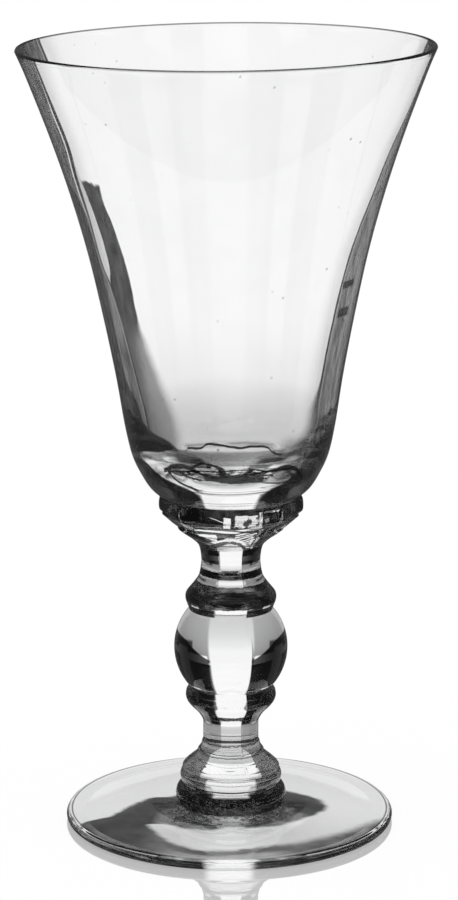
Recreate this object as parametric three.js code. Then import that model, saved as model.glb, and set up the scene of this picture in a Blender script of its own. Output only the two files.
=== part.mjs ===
// A water goblet in clear glass: a blown bowl on a tooled collar, a pressed stem, two wafers and a foot.
// Millimetres, +Z up. The origin is on the table under the middle of the foot, and -Y is the front.
import * as THREE from "three";

// Foot
const footRadius = 40.0;
const footEdgeRadius = 1.25;
const footLandRadius = 13.7;
const footLandHeight = 4.1;
const restRingWidth = 3.2;
const footHollowDepth = 1.1;

// Lower wafer, the thick button on the foot
const lowerWaferRadius = 13.55;
const lowerWaferHeight = 5.0;

// Upper wafer, the roll under the stem
const upperWaferRadius = 12.45;
const upperWaferHeight = 3.5;

// Stem, from its base up. It stands a little to the right of the foot's middle.
const stemOffset = 0.35;
const bellRadius = 11.85;
const bellHeight = 4.6;
const bandRadius = 8.05;
const bandHeight = 2.6;
const creaseDepth = 0.18;
const waistRadius = 6.75;
const waistHeight = 4.6;
const lowerRingRadius = 11.0;
const lowerRingHeight = 9.5;
const grooveRadius = 10.1;
const ballRadius = 13.8;
const ballHeight = 19.3;
const upperRingRadius = 11.05;
const upperRingHeight = 9.8;
const neckRadius = 7.15;
const neckHeight = 4.8;
const flareRadius = 13.0;
const flareHeight = 5.8;

// Collar of hot glass, tooled in two tiers between the stem and the bowl
const lowerCollarRadius = 17.4;
const lowerCollarHeight = 4.0;
const upperCollarRadius = 17.8;
const upperCollarHeight = 4.3;

// Bowl, which leans a little to the left
const bowlSeatGap = 0.3;
const bowlLean = THREE.MathUtils.degToRad(0.6);
const bowlHeight = 107.6;
const bowlRimRadius = 49.5;
const bowlSeatRadius = 17.5;
const bowlFloorThickness = 4.8;
const bowlRimWall = 1.35;
const bowlBaseWall = 3.4;
const bowlPanelDepth = 0.22;
const bowlPanelCount = 10;

// Outlines as [height share, radius share] of the piece, chosen by hand
const bowlOutlineShares = [
  [0.018, 0.395],
  [0.045, 0.432],
  [0.09, 0.477],
  [0.16, 0.511],
  [0.27, 0.549],
  [0.4, 0.603],
  [0.54, 0.669],
  [0.67, 0.746],
  [0.8, 0.838],
  [0.94, 0.951],
];
const lowerWaferShares = [
  [0.0, 0.95],
  [0.38, 1.0],
  [0.75, 0.97],
  [1.0, 0.89],
];
const upperWaferShares = [
  [0.0, 0.95],
  [0.25, 0.985],
  [0.55, 1.0],
  [0.85, 0.975],
  [1.0, 0.94],
];

// Outlines as [height share, share of the way from the smaller radius to the larger]
const bellShares = [
  [0.0, 0.95],
  [0.12, 1.0],
  [0.26, 0.91],
  [0.5, 0.62],
  [0.8, 0.2],
  [1.0, 0.0],
];
const bandShares = [
  [0.0, 1.0],
  [0.5, 0.42],
  [1.0, 0.2],
];
const lowerRingShares = [
  [0.0, 0.0],
  [0.1, 0.05],
  [0.29, 0.31],
  [0.47, 0.7],
  [0.6, 0.92],
  [0.72, 1.0],
  [0.85, 0.97],
];
const upperRingShares = [
  [0.12, 0.88],
  [0.22, 0.97],
  [0.31, 1.0],
  [0.4, 0.95],
  [0.5, 0.76],
  [0.65, 0.46],
  [0.82, 0.18],
  [1.0, 0.06],
];
const flareShares = [
  [0.0, 0.04],
  [0.3, 0.15],
  [0.6, 0.46],
  [0.82, 0.77],
  [1.0, 1.0],
];
const lowerCollarShares = [
  [0.0, 0.0],
  [0.3, 0.36],
  [0.65, 0.72],
  [0.9, 0.97],
  [1.0, 0.93],
];
const upperCollarShares = [
  [0.0, 0.965],
  [0.15, 0.995],
  [0.5, 1.0],
  [0.86, 0.985],
  [1.0, 0.955],
];

// The inside of the bowl turns to its floor below this share of the height, on a cubic curve
const floorTurnShare = 0.21;
const floorTurnSideShare = 0.75;
const floorTurnBottomShare = 0.5;
const wallFadePower = 3;

// The foot's top dips to this share of its fall, at this share of the way in from the edge
const footTopShares = [0.45, 0.22];
const footHollowShare = 0.6;

// Corners of the tooled tiers as [share of a turn from the front, radius share], with a lap at the right
const upperCollarCornerShares = [
  [0.0, 0.985],
  [0.066, 1.0],
  [0.083, 0.965],
  [0.13, 0.985],
  [0.235, 0.995],
  [0.34, 0.98],
  [0.45, 1.0],
  [0.56, 0.975],
  [0.665, 0.99],
  [0.755, 0.985],
  [0.87, 0.985],
];
const lowerCollarCornerShares = [
  [0.02, 0.97],
  [0.075, 1.0],
  [0.095, 0.94],
  [0.21, 0.985],
  [0.33, 0.96],
  [0.44, 0.995],
  [0.54, 0.955],
  [0.66, 0.985],
  [0.77, 0.975],
  [0.9, 1.0],
];

// Facets around each turned piece, and along each stretch of its outline
const bowlFacets = 60;
const stemFacets = 36;
const collarFacets = 48;
const footFacets = 60;
const bowlSteps = 2;
const stemSteps = 1;
const ballSteps = 10;
const edgeSteps = 2;
const floorSteps = 5;
const bowlFloorSteps = 8;

// Finish of the glass
const thickGlassColor = 0xf3f6f5;
const stemGlassColor = 0xf4f7f6;
const bowlGlassColor = 0xf7f9f8;
const toolingRoughness = 0.06;
const footRoughness = 0.05;
const stemRoughness = 0.04;
const bowlRoughness = 0.03;
const glassOpacity = 0.35;

// Heights of the seats above the table
const lowerWaferBase = footLandHeight;
const upperWaferBase = lowerWaferBase + lowerWaferHeight;
const stemBase = upperWaferBase + upperWaferHeight;
const stemHeight =
  bellHeight + bandHeight + waistHeight + lowerRingHeight +
  ballHeight + upperRingHeight + neckHeight + flareHeight;
const lowerCollarBase = stemBase + stemHeight;
const upperCollarBase = lowerCollarBase + lowerCollarHeight;
const bowlBase = upperCollarBase + upperCollarHeight + bowlSeatGap;

// A clear glass of its own for each piece
function glass(name, color, roughness) {
  return new THREE.MeshStandardMaterial({
    name,
    color,
    roughness,
    metalness: 0,
    transparent: true,
    opacity: glassOpacity,
  });
}

// The points of a smooth curve through [height share, radius share] places
function curveThrough(shares, base, height, inner, outer, steps) {
  const places = shares.map(
    ([up, out]) => new THREE.Vector2(inner + out * (outer - inner), base + up * height),
  );
  return new THREE.SplineCurve(places).getPoints(steps * (places.length - 1));
}

// Turns [radius, height] points about Z. The shape function gives the share of a radius that is kept.
function turned(outline, facets, shape = () => 1) {
  const points = outline.filter((p, i) => i === 0 || !p.equals(outline[i - 1]));
  const geometry = new THREE.LatheGeometry(points, facets);
  geometry.rotateX(Math.PI / 2);
  const position = geometry.attributes.position;
  for (let i = 0; i < position.count; i++) {
    const [x, y, z] = [position.getX(i), position.getY(i), position.getZ(i)];
    const kept = shape(points[i % points.length], Math.atan2(x, -y));
    position.setXYZ(i, x * kept, y * kept, z);
  }
  return geometry;
}

function named(name, geometry, material, height) {
  const mesh = new THREE.Mesh(geometry, material);
  mesh.name = name;
  mesh.position.z = height;
  return mesh;
}

function onAxis(height) {
  return new THREE.Vector2(0, height);
}

// How far a straight-sided outline through the corners reaches, at an angle from the front
function cornerReach(cornerShares, angle) {
  const turn = THREE.MathUtils.euclideanModulo(angle / (2 * Math.PI), 1);
  const after = cornerShares.findIndex(([at]) => at > turn);
  const next = after < 0 ? 0 : after;
  const [a, b] = [cornerShares.at(next - 1), cornerShares[next]].map(([at, reach]) =>
    new THREE.Vector2(Math.cos(2 * Math.PI * at), Math.sin(2 * Math.PI * at)).multiplyScalar(reach),
  );
  const side = b.clone().sub(a);
  const ray = new THREE.Vector2(Math.cos(angle), Math.sin(angle));
  return a.cross(side) / ray.cross(side);
}

function foot() {
  const edgeMiddle = footRadius - footEdgeRadius;
  const ringInner = edgeMiddle - restRingWidth;
  const edgeTop = 2 * footEdgeRadius;
  const [inShare, fallShare] = footTopShares;
  const hollow = new THREE.QuadraticBezierCurve(
    onAxis(footHollowDepth),
    new THREE.Vector2(footHollowShare * ringInner, footHollowDepth),
    new THREE.Vector2(ringInner, 0),
  );
  const edge = new THREE.Path();
  edge.absarc(edgeMiddle, footEdgeRadius, footEdgeRadius, -Math.PI / 2, Math.PI / 2, false);
  const top = new THREE.QuadraticBezierCurve(
    new THREE.Vector2(edgeMiddle, edgeTop),
    new THREE.Vector2(
      THREE.MathUtils.lerp(edgeMiddle, footLandRadius, inShare),
      THREE.MathUtils.lerp(edgeTop, footLandHeight, fallShare),
    ),
    new THREE.Vector2(footLandRadius, footLandHeight),
  );
  return turned(
    [
      ...hollow.getPoints(floorSteps),
      ...edge.getPoints(edgeSteps),
      ...top.getPoints(floorSteps),
      onAxis(footLandHeight),
    ],
    footFacets,
  );
}

function wafer(shares, radius, height) {
  return turned(
    [onAxis(0), ...curveThrough(shares, 0, height, 0, radius, stemSteps), onAxis(height)],
    stemFacets,
  );
}

// The ball is an ellipse cut off at the groove above and the groove below it
function ball(base) {
  const middle = base + ballHeight / 2;
  const fullHeight = ballHeight / Math.sqrt(1 - (grooveRadius / ballRadius) ** 2);
  const reach = Math.asin(ballHeight / fullHeight);
  const arc = new THREE.EllipseCurve(0, middle, ballRadius, fullHeight / 2, -reach, reach);
  return arc.getPoints(ballSteps);
}

function stem() {
  const bandBase = bellHeight;
  const waistBase = bandBase + bandHeight;
  const lowerRingBase = waistBase + waistHeight;
  const ballBase = lowerRingBase + lowerRingHeight;
  const upperRingBase = ballBase + ballHeight;
  const neckBase = upperRingBase + upperRingHeight;
  const flareBase = neckBase + neckHeight;
  const bandCrease = new THREE.Vector2(bandRadius - creaseDepth, bandBase);
  const waistCrease = new THREE.Vector2(waistRadius - creaseDepth, waistBase);
  return turned(
    [
      onAxis(0),
      ...curveThrough(bellShares, 0, bellHeight - creaseDepth, bandRadius, bellRadius, stemSteps),
      bandCrease,
      ...curveThrough(
        bandShares, bandBase + creaseDepth, bandHeight - 2 * creaseDepth, waistRadius, bandRadius, stemSteps,
      ),
      waistCrease,
      new THREE.Vector2(waistRadius, waistBase + creaseDepth),
      ...curveThrough(
        lowerRingShares, lowerRingBase, lowerRingHeight, waistRadius, lowerRingRadius, stemSteps,
      ),
      ...ball(ballBase),
      ...curveThrough(
        upperRingShares, upperRingBase, upperRingHeight, neckRadius, upperRingRadius, stemSteps,
      ),
      new THREE.Vector2(neckRadius, (neckBase + flareBase) / 2),
      ...curveThrough(flareShares, flareBase, flareHeight, neckRadius, flareRadius, stemSteps),
      onAxis(stemHeight),
    ],
    stemFacets,
  );
}

function lowerCollar() {
  const outline = curveThrough(
    lowerCollarShares, 0, lowerCollarHeight, flareRadius, lowerCollarRadius, stemSteps,
  );
  return turned([onAxis(0), ...outline, onAxis(lowerCollarHeight)], collarFacets, (point, angle) =>
    cornerReach(lowerCollarCornerShares, angle),
  );
}

function upperCollar() {
  const outline = curveThrough(upperCollarShares, 0, upperCollarHeight, 0, upperCollarRadius, stemSteps);
  return turned([onAxis(0), ...outline, onAxis(upperCollarHeight)], collarFacets, (point, angle) =>
    cornerReach(upperCollarCornerShares, angle),
  );
}

// The inside follows the outside at the wall's thickness, then turns in to the floor. Its panels are
// deepest halfway up and fade out at the floor and the lip.
function bowl() {
  const lipRadius = bowlRimWall / 2;
  const lipHeight = bowlHeight - lipRadius;
  const outside = new THREE.SplineCurve([
    new THREE.Vector2(bowlSeatRadius, 0),
    ...bowlOutlineShares.map(([up, out]) => new THREE.Vector2(out * bowlRimRadius, up * bowlHeight)),
    new THREE.Vector2(bowlRimRadius, lipHeight),
  ]);
  const outer = outside.getPoints(bowlSteps * (bowlOutlineShares.length + 1));
  const wallAt = (height) =>
    THREE.MathUtils.lerp(bowlRimWall, bowlBaseWall, (1 - height / bowlHeight) ** wallFadePower);
  const inner = outer
    .filter((p) => p.y > floorTurnShare * bowlHeight)
    .map((p) => new THREE.Vector2(p.x - wallAt(p.y), p.y))
    .reverse();
  const lip = new THREE.Path();
  lip.absarc(bowlRimRadius - lipRadius, lipHeight, lipRadius, 0, Math.PI, false);
  const turn = inner.at(-1);
  const slope = turn.clone().sub(inner.at(-2)).normalize();
  const drop = turn.y - bowlFloorThickness;
  const floor = new THREE.CubicBezierCurve(
    turn,
    turn.clone().addScaledVector(slope, floorTurnSideShare * drop),
    new THREE.Vector2(floorTurnBottomShare * turn.x, bowlFloorThickness),
    onAxis(bowlFloorThickness),
  );
  const insidePoints = new Set(inner);
  const points = [
    onAxis(0),
    ...outer,
    ...lip.getPoints(edgeSteps),
    ...inner.slice(1),
    ...floor.getPoints(bowlFloorSteps),
  ];
  return turned(points, bowlFacets, (point, angle) => {
    if (!insidePoints.has(point)) return 1;
    const fade = Math.sin((Math.PI * (point.y - turn.y)) / (lipHeight - turn.y));
    const panel = (1 + Math.cos(bowlPanelCount * angle)) / 2;
    return 1 - (bowlPanelDepth * fade * panel) / point.x;
  });
}

const stemGroup = new THREE.Group();
stemGroup.position.x = stemOffset;
stemGroup.add(
  named(
    "lower_wafer",
    wafer(lowerWaferShares, lowerWaferRadius, lowerWaferHeight),
    glass("lower_wafer_glass", thickGlassColor, footRoughness),
    lowerWaferBase,
  ),
  named(
    "upper_wafer",
    wafer(upperWaferShares, upperWaferRadius, upperWaferHeight),
    glass("upper_wafer_glass", thickGlassColor, footRoughness),
    upperWaferBase,
  ),
  named("stem", stem(), glass("stem_glass", stemGlassColor, stemRoughness), stemBase),
  named(
    "lower_collar",
    lowerCollar(),
    glass("lower_collar_glass", thickGlassColor, toolingRoughness),
    lowerCollarBase,
  ),
  named(
    "upper_collar",
    upperCollar(),
    glass("upper_collar_glass", thickGlassColor, toolingRoughness),
    upperCollarBase,
  ),
);

const bowlGroup = new THREE.Group();
bowlGroup.position.set(stemOffset, 0, bowlBase);
bowlGroup.rotation.y = -bowlLean;
bowlGroup.add(named("bowl", bowl(), glass("bowl_glass", bowlGlassColor, bowlRoughness), 0));

const goblet = new THREE.Group();
goblet.add(
  named("foot", foot(), glass("foot_glass", thickGlassColor, footRoughness), 0),
  stemGroup,
  bowlGroup,
);

export default goblet;
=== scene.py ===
import math

import bpy
import numpy as np
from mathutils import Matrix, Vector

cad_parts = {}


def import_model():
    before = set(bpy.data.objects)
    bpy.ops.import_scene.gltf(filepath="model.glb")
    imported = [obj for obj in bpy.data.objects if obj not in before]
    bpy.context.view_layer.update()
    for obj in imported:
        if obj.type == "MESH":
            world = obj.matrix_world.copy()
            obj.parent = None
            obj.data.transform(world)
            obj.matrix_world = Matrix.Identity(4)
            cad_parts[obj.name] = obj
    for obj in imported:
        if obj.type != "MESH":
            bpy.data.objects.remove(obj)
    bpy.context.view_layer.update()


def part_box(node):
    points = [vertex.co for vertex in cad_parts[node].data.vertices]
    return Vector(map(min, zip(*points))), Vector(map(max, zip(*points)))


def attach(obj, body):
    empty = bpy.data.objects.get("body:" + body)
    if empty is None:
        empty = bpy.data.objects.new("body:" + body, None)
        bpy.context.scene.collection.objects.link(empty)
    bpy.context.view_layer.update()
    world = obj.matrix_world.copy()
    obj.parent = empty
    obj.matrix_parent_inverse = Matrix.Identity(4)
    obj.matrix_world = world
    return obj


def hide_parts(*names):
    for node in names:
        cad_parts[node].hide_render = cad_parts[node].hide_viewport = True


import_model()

MM = 0.001

# Camera, fitted to the rim's and the foot's ellipses in the photo, which is 458 by 900 pixels
PHOTO_HEIGHT_PX = 900
FOCAL_PX = 3459.5
SENSOR_MM = 36.0
CAMERA_BACK = 0.8092
CAMERA_UP = 0.2839
CAMERA_SIDE = -0.0001
CAMERA_PITCH = math.radians(13.31)

# Fineness of the turned surfaces
AROUND = 256
STEP_MM = 0.22
BOWL_STEP_MM = 0.6

# Sizes of the pieces in millimetres, the same as the solids'
STEM_OFFSET = 0.35
FOOT_EDGE_RADIUS = 1.25
FOOT_LAND_RADIUS = 13.7
REST_RING_WIDTH = 3.2
FOOT_HOLLOW = 1.1
BELL_HEIGHT = 4.6
BAND_RADIUS = 8.05
BAND_HEIGHT = 2.6
CREASE_DEPTH = 0.18
WAIST_RADIUS = 6.75
WAIST_HEIGHT = 4.6
LOWER_RING_RADIUS = 11.0
LOWER_RING_HEIGHT = 9.5
GROOVE_RADIUS = 10.1
BALL_HEIGHT = 19.3
UPPER_RING_RADIUS = 11.05
UPPER_RING_HEIGHT = 9.8
NECK_RADIUS = 7.15
NECK_HEIGHT = 4.8
FLARE_RADIUS = 13.0
FLARE_HEIGHT = 5.8
BOWL_LEAN = math.radians(0.6)
BOWL_SEAT_RADIUS = 17.5
BOWL_FLOOR = 4.8
RIM_WALL = 1.35
BASE_WALL = 3.4
WALL_FADE_POWER = 3
PANEL_COUNT = 10
# Fainter than in the solids, because the photo hardly shows the panels
PANEL_DEPTH = 0.06
BOWL_GAP = 0.3
BELL_TOP_RADIUS = 11.6
# How far inside its edge each fused joint's ring lies
WAFER_JOINT_IN = 0.15
ROLL_JOINT_IN = 0.1
FLARE_JOINT_IN = 0.3
TIER_JOINT_IN = 0.2
SEAT_JOINT_IN = 0.5
LAND_MARGIN = 0.5

BELL_RADIUS = 11.85
LOWER_COLLAR_RADIUS = 17.4
UPPER_COLLAR_RADIUS = 17.8
BOWL_HEIGHT = 107.6
BOWL_RIM_RADIUS = 49.5

# Outlines as [height share, radius share], the same as the solids'
BOWL_SHARES = [
    (0.018, 0.395), (0.045, 0.432), (0.09, 0.477), (0.16, 0.511), (0.27, 0.549), (0.4, 0.603),
    (0.54, 0.669), (0.67, 0.746), (0.8, 0.838), (0.94, 0.951),
]
BELL_SHARES = [(0.0, 0.95), (0.12, 1.0), (0.26, 0.91), (0.5, 0.62), (0.8, 0.2), (1.0, 0.0)]
BAND_SHARES = [(0.0, 1.0), (0.5, 0.42), (1.0, 0.2)]
LOWER_RING_SHARES = [
    (0.0, 0.0), (0.1, 0.05), (0.29, 0.31), (0.47, 0.7), (0.6, 0.92), (0.72, 1.0), (0.85, 0.97),
]
UPPER_RING_SHARES = [
    (0.12, 0.88), (0.22, 0.97), (0.31, 1.0), (0.4, 0.95), (0.5, 0.76), (0.65, 0.46), (0.82, 0.18),
    (1.0, 0.06),
]
FLARE_SHARES = [(0.0, 0.04), (0.3, 0.15), (0.6, 0.46), (0.82, 0.77), (1.0, 1.0)]
LOWER_WAFER_SHARES = [(0.0, 0.95), (0.38, 1.0), (0.75, 0.97), (1.0, 0.89)]
UPPER_WAFER_SHARES = [(0.0, 0.95), (0.25, 0.985), (0.55, 1.0), (0.85, 0.975), (1.0, 0.94)]
LOWER_COLLAR_SHARES = [(0.0, 0.0), (0.3, 0.36), (0.65, 0.72), (0.9, 0.97), (1.0, 0.93)]
UPPER_COLLAR_SHARES = [(0.0, 0.965), (0.15, 0.995), (0.5, 1.0), (0.86, 0.985), (1.0, 0.955)]
FLOOR_TURN_SHARE = 0.21
FLOOR_TURN_SIDE_SHARE = 0.75
FLOOR_TURN_BOTTOM_SHARE = 0.5
FOOT_TOP_SHARES = (0.45, 0.22)
FOOT_HOLLOW_SHARE = 0.6
UPPER_COLLAR_CORNERS = [
    (0.0, 0.985), (0.066, 1.0), (0.083, 0.965), (0.13, 0.985), (0.235, 0.995), (0.34, 0.98), (0.45, 1.0),
    (0.56, 0.975), (0.665, 0.99), (0.755, 0.985), (0.87, 0.985),
]
LOWER_COLLAR_CORNERS = [
    (0.02, 0.97), (0.075, 1.0), (0.095, 0.94), (0.21, 0.985), (0.33, 0.96), (0.44, 0.995), (0.54, 0.955),
    (0.66, 0.985), (0.77, 0.975), (0.9, 1.0),
]

# The mould's seam, a low ridge up the stem at this turn from the front and again opposite
SEAM_TURN = math.radians(21)
SEAM_HEIGHT = 0.12
SEAM_WIDTH = math.radians(1.5)

# Glass. A little roughness keeps its gloss apart from the table's, which is a mirror's
GLASS_IOR = 1.5
LEAST_ROUGHNESS = 0.006
HAZE_SCALE = 60.0
BASE_BLUR = 0.12
EVEN = (1.0, 1.0, 1.0)

# Borders of painted shade and light in the glass, as (share of the bowl's height, turn from the eye), each
# turn from 0 to 1
LEFT_BAND = [
    (0.0, 0.3), (0.2, 0.36), (0.3, 0.41), (0.42, 0.455), (0.5, 0.51), (0.54, 0.56), (0.66, 0.57),
    (0.73, 0.57), (0.8, 0.54), (0.87, 0.555), (0.93, 0.57), (1.0, 0.567),
]
LEFT_EDGE = [
    (0.0, 0.5), (0.14, 0.5), (0.2, 0.43), (0.29, 0.58), (0.45, 0.6), (0.6, 0.615), (0.67, 0.64),
    (0.73, 0.77), (1.0, 0.77),
]
LEFT_SLIVER = [
    (0.0, 0.3), (0.2, 0.36), (0.3, 0.41), (0.42, 0.455), (0.5, 0.51), (0.53, 0.48), (0.6, 0.48),
    (0.66, 0.5), (0.7, 0.52), (0.74, 0.54), (0.8, 0.54), (0.87, 0.555), (0.93, 0.57), (1.0, 0.567),
]
LEFT_PATCH = [
    (0.0, 0.1), (0.146, 0.1), (0.2, 0.11), (0.285, 0.17), (0.374, 0.24), (0.43, 0.3), (0.5, 0.31),
    (0.57, 0.325), (0.65, 0.357), (0.69, 0.38), (0.73, 0.375), (1.0, 0.42),
]
RIGHT_BAND = [
    (0.0, 0.3), (0.135, 0.3), (0.19, 0.4), (0.243, 0.397), (0.434, 0.436), (0.536, 0.468), (0.6, 0.502),
    (0.683, 0.571), (0.795, 0.65), (0.893, 0.753), (0.978, 0.786), (1.0, 0.79),
]
# Where the right band's blotches of painted shade, the left patch's top and its painted light line lie
RIGHT_SHADE_BLOTCHES = [(0.427, 0.443), (0.492, 0.504)]
SHADE_BLOTCH_ASIDE = (0.49, 0.63)
PATCH_TOP = (0.725, 0.735)
LIT_LINE = (0.7, 0.86)
# Height in millimetres of the painted shade along the fire polished lip's top
RIM_LINE = 0.9
# As (turn from the eye, light kept by the painted shade)
LOWER_LEFT = [
    (0.0, 0.75), (0.12, 0.62), (0.17, 0.45), (0.24, 0.37), (0.3, 0.34), (0.38, 0.22), (0.5, 0.2),
    (1.0, 0.2),
]
STEM_SIDE = [
    (0.0, 1.0), (0.1, 1.0), (0.125, 0.1), (0.2, 0.05), (0.3, 0.02), (0.5, 0.025), (0.7, 0.06), (1.0, 0.08),
]
# Borders of painted shade in the bowl's base as (turn from the eye, share of BASE_SPAN above the base)
BASE_SPAN = 25.0
WEDGE_TOP = [
    (0.0, 0.6), (0.12, 0.6), (0.15, 0.62), (0.2, 0.69), (0.35, 0.77), (0.43, 0.87), (0.5, 1.0), (1.0, 1.0),
]
STREAK_TOP = [
    (0.0, 0.61), (0.18, 0.61), (0.29, 0.57), (0.38, 0.55), (0.49, 0.52), (0.66, 0.47), (1.0, 0.4),
]
STREAK_LOW = [
    (0.0, 0.2), (0.13, 0.22), (0.17, 0.24), (0.22, 0.27), (0.26, 0.34), (0.32, 0.4), (0.42, 0.42),
    (0.66, 0.43), (1.0, 0.38),
]
# The same as (share of BASE_SPAN, turn from the eye)
HEEL_RIGHT = [
    (0.0, 0.08), (0.17, 0.1), (0.22, 0.13), (0.27, 0.2), (0.33, 0.25), (0.4, 0.29), (0.48, 0.34),
    (0.6, 0.45), (0.7, 0.56), (1.0, 0.62),
]
BASE_WINDOW = [(0.0, 0.08), (0.17, 0.1), (0.22, 0.13), (0.26, 0.2), (0.3, 0.3), (1.0, 1.0)]
# Painted dark lines in the base's middle as (share of LENS_SPAN from left to right, share of LENS_RISE
# above LENS_LOW)
LENS_SPAN = 40.0
LENS_LOW = 84.0
LENS_RISE = 16.0
CONTOUR = [
    (0.0, 0.9), (0.257, 0.906), (0.335, 0.912), (0.367, 0.975), (0.432, 0.98), (0.555, 0.931),
    (0.612, 0.944), (0.717, 0.925), (0.755, 0.825), (0.803, 0.775), (1.0, 0.77),
]
LOOP_TOP = [
    (0.0, 0.4), (0.13, 0.5), (0.168, 0.569), (0.21, 0.594), (0.272, 0.575), (0.315, 0.519), (0.367, 0.481),
    (0.425, 0.456), (0.52, 0.475), (0.637, 0.512), (0.765, 0.544), (0.825, 0.562), (0.86, 0.55),
    (0.897, 0.494), (0.92, 0.37), (1.0, 0.2),
]
LOOP_LOW = [
    (0.0, 0.6), (0.13, 0.5), (0.177, 0.381), (0.232, 0.294), (0.275, 0.256), (0.325, 0.206),
    (0.432, 0.156), (0.525, 0.131), (0.642, 0.137), (0.732, 0.175), (0.802, 0.225), (0.862, 0.262),
    (0.92, 0.3), (1.0, 0.4),
]
LOOP_MIDDLE = [
    (0.0, 0.5), (0.138, 0.5), (0.19, 0.462), (0.25, 0.437), (0.307, 0.4), (0.42, 0.381), (0.537, 0.35),
    (0.655, 0.362), (0.73, 0.335), (0.81, 0.319), (0.9, 0.35), (1.0, 0.35),
]
EYE_TOP = [
    (0.0, 0.5), (0.27, 0.56), (0.31, 0.64), (0.36, 0.67), (0.43, 0.62), (0.5, 0.57), (0.6, 0.61),
    (0.68, 0.57), (1.0, 0.5),
]
# How far these reach from left to right
LOOPS = (0.12, 0.93)
SMILE = (0.37, 0.68)
EYE = (0.28, 0.68)
EYELID = (0.27, 0.46)
CONTOUR_ENDS = (0.26, 0.8)
# Painted grey bands: heights in millimetres, how soft the border is, and the light that the stem's sides
# keep there
STEM_GREYS = [
    (13.0, 18.7, 0.2, 0.3), (18.7, 22.2, 0.3, 0.55), (22.2, 24.8, 0.9, 0.8), (34.7, 35.0, 0.12, 0.8),
    (54.95, 55.35, 0.12, 0.6), (60.5, 62.1, 0.15, 0.65), (63.9, 65.5, 0.3, 0.75),
]
# Rings of painted shade in the creases and on the rings, as lowest and highest point in millimetres,
# softness and light kept
DARK_RINGS = [
    (62.2, 63.6, 0.25, 0.12), (26.7, 27.6, 0.2, 0.1), (60.0, 60.35, 0.12, 0.15), (55.4, 55.7, 0.1, 0.1),
    (19.7, 19.95, 0.1, 0.25), (17.05, 17.25, 0.08, 0.4),
]
# Heights in millimetres of the upper ring's top, which is painted dark with swirled shade
RING_TOP = (55.6, 60.1)
# The ball's sides carry painted shade below this line and none above it, as (turn from the eye, upward part
# of the surface's normal)
BALL_SIDE_LIMIT = [
    (0.0, 0.0), (0.11, 0.0), (0.14, 0.024), (0.18, 0.062), (0.21, 0.088), (0.27, 0.14), (0.34, 0.19),
    (0.4, 0.235), (0.52, 0.272), (0.7, 0.3), (1.0, 0.33),
]
# How much wider than the stem's the bell's bright middle is, which is left clear of painted shade
BELL_WINDOW = 0.16
BALL_MIDDLE = (44.0, 53.0)
# The bar between the button and the roll, bright in its middle and painted dark at its sides
BAR = (8.45, 9.3)
# Widths in millimetres in from the foot's edge of its painted dark edge and painted dark line, and radii
# round its button of the painted speckled shade
DARK_EDGE = (0.42, 0.3)
FINE_LINE = (1.5, 1.2)
SPECKLED_SHADE_RADIUS = (18.5, 19.5)
# Painted dark lines round the roll as lowest and highest point in millimetres and light kept
ROLL_LINES = [(9.7, 9.95, 0.1), (11.45, 11.6, 0.5), (12.3, 12.45, 0.5)]
# Heights in the collar and the flare under it are shares of COLLAR_SPAN above COLLAR_LOW
COLLAR_LOW = 69.0
COLLAR_SPAN = 12.5
# Where the painted light along the ridge between the tiers and along the wavy lip runs, as (turn, share of
# COLLAR_SPAN)
RIDGE = [
    (0.0, 0.6), (0.3, 0.61), (0.367, 0.608), (0.412, 0.595), (0.436, 0.58), (0.463, 0.572), (0.479, 0.562),
    (0.505, 0.566), (0.523, 0.588), (0.547, 0.62), (0.563, 0.655), (0.6, 0.66), (1.0, 0.6),
]
LIP = [
    (0.0, 0.2), (0.3, 0.2), (0.36, 0.2), (0.406, 0.15), (0.43, 0.2), (0.464, 0.26), (0.5, 0.31),
    (0.535, 0.24), (0.56, 0.13), (0.578, 0.08), (0.62, 0.05), (0.7, 0.1), (1.0, 0.2),
]
RIDGE_IN_SIGHT = (0.37, 0.563)
LIP_IN_SIGHT = (0.36, 0.575)
# Facets of the collar with painted light, as lowest and highest point in millimetres, first and last turn,
# and level
COLLAR_PAINTED_LIGHTS = [
    (77.0, 79.8, 0.484, 0.498, 1.0), (77.2, 81.0, 0.564, 0.57, 1.0), (77.6, 80.4, 0.374, 0.378, 0.4),
    (77.0, 77.3, 0.385, 0.48, 0.4), (80.6, 80.9, 0.575, 0.617, 0.7), (77.4, 80.3, 0.62, 0.625, 0.5),
    (78.2, 79.2, 0.58, 0.588, 0.3), (77.5, 80.3, 0.13, 0.2, 0.9), (73.2, 75.4, 0.03, 0.11, 0.8),
    (77.5, 80.4, 0.88, 0.94, 0.9), (73.2, 75.4, 0.78, 0.85, 0.8),
]
# A facet with painted light: its top, its depth and its first and last turn
WEDGE_FACET = (74.7, 2.2, 0.375, 0.455)
# A flank painted grey, as lowest and highest point in millimetres, first and last turn, and level
GREY_FLANK = (70.0, 76.6, 0.61, 0.75, 0.14)
# Slanted edges with painted light, as (turn and height at the top, turn and height at the foot, half the
# width)
SLANTED_EDGES = [
    (0.573, 76.4, 0.604, 69.0, 0.5), (0.557, 74.6, 0.588, 69.3, 0.3), (0.287, 75.0, 0.39, 71.0, 0.5),
    (0.7, 75.5, 0.637, 71.2, 0.6), (0.455, 79.5, 0.482, 78.7, 0.25),
]
# Facets with mottled and with striped painted light, as lowest and highest point, first and last turn
MOTTLED_FACET = (77.4, 80.3, 0.51, 0.561)
STRIPED_FACET = (71.4, 75.4, 0.513, 0.575)
STRIPE_SLOPE = 24.0
STRIPE_SPACING = 0.75
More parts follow.
